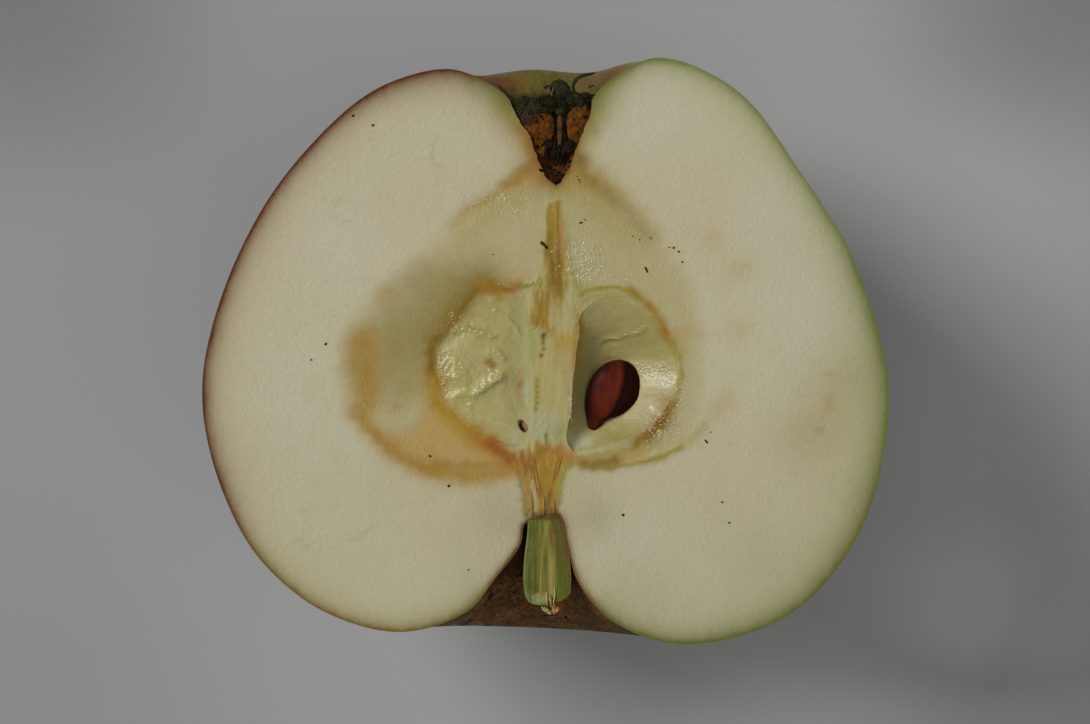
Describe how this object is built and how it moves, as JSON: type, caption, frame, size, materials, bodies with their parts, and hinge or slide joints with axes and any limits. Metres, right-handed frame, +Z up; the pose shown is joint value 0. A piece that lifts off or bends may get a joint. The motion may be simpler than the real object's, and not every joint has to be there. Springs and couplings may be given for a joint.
{
  "type": "apple half",
  "caption": "Half of a round apple cut lengthwise, lying on its skin with the cut face up, showing core, open seed chambers, a pip, stalk and dried calyx.",
  "frame": {"origin": "on the surface the half lies on, under the middle of its box", "axes": "+X across the cut face, +Y along the core from the stalk to the calyx, +Z up, out of the cut face"},
  "size_m": [0.0804, 0.0689, 0.0382],
  "materials": {
    "fruit": "moist cut apple flesh, cream with browned core lines, inside a glossy red and green skin",
    "stalk": "green woody stalk cut lengthwise, pale fibres in its middle",
    "pip": "smooth shiny dark brown-red seed coat",
    "calyx": "dry, dark, woolly sepals and filaments"
  },
  "bodies": {
    "root": {"fruit": "fruit", "stalk": "stalk", "pip": "pip", "calyx": "calyx"}
  },
  "joints": []
}
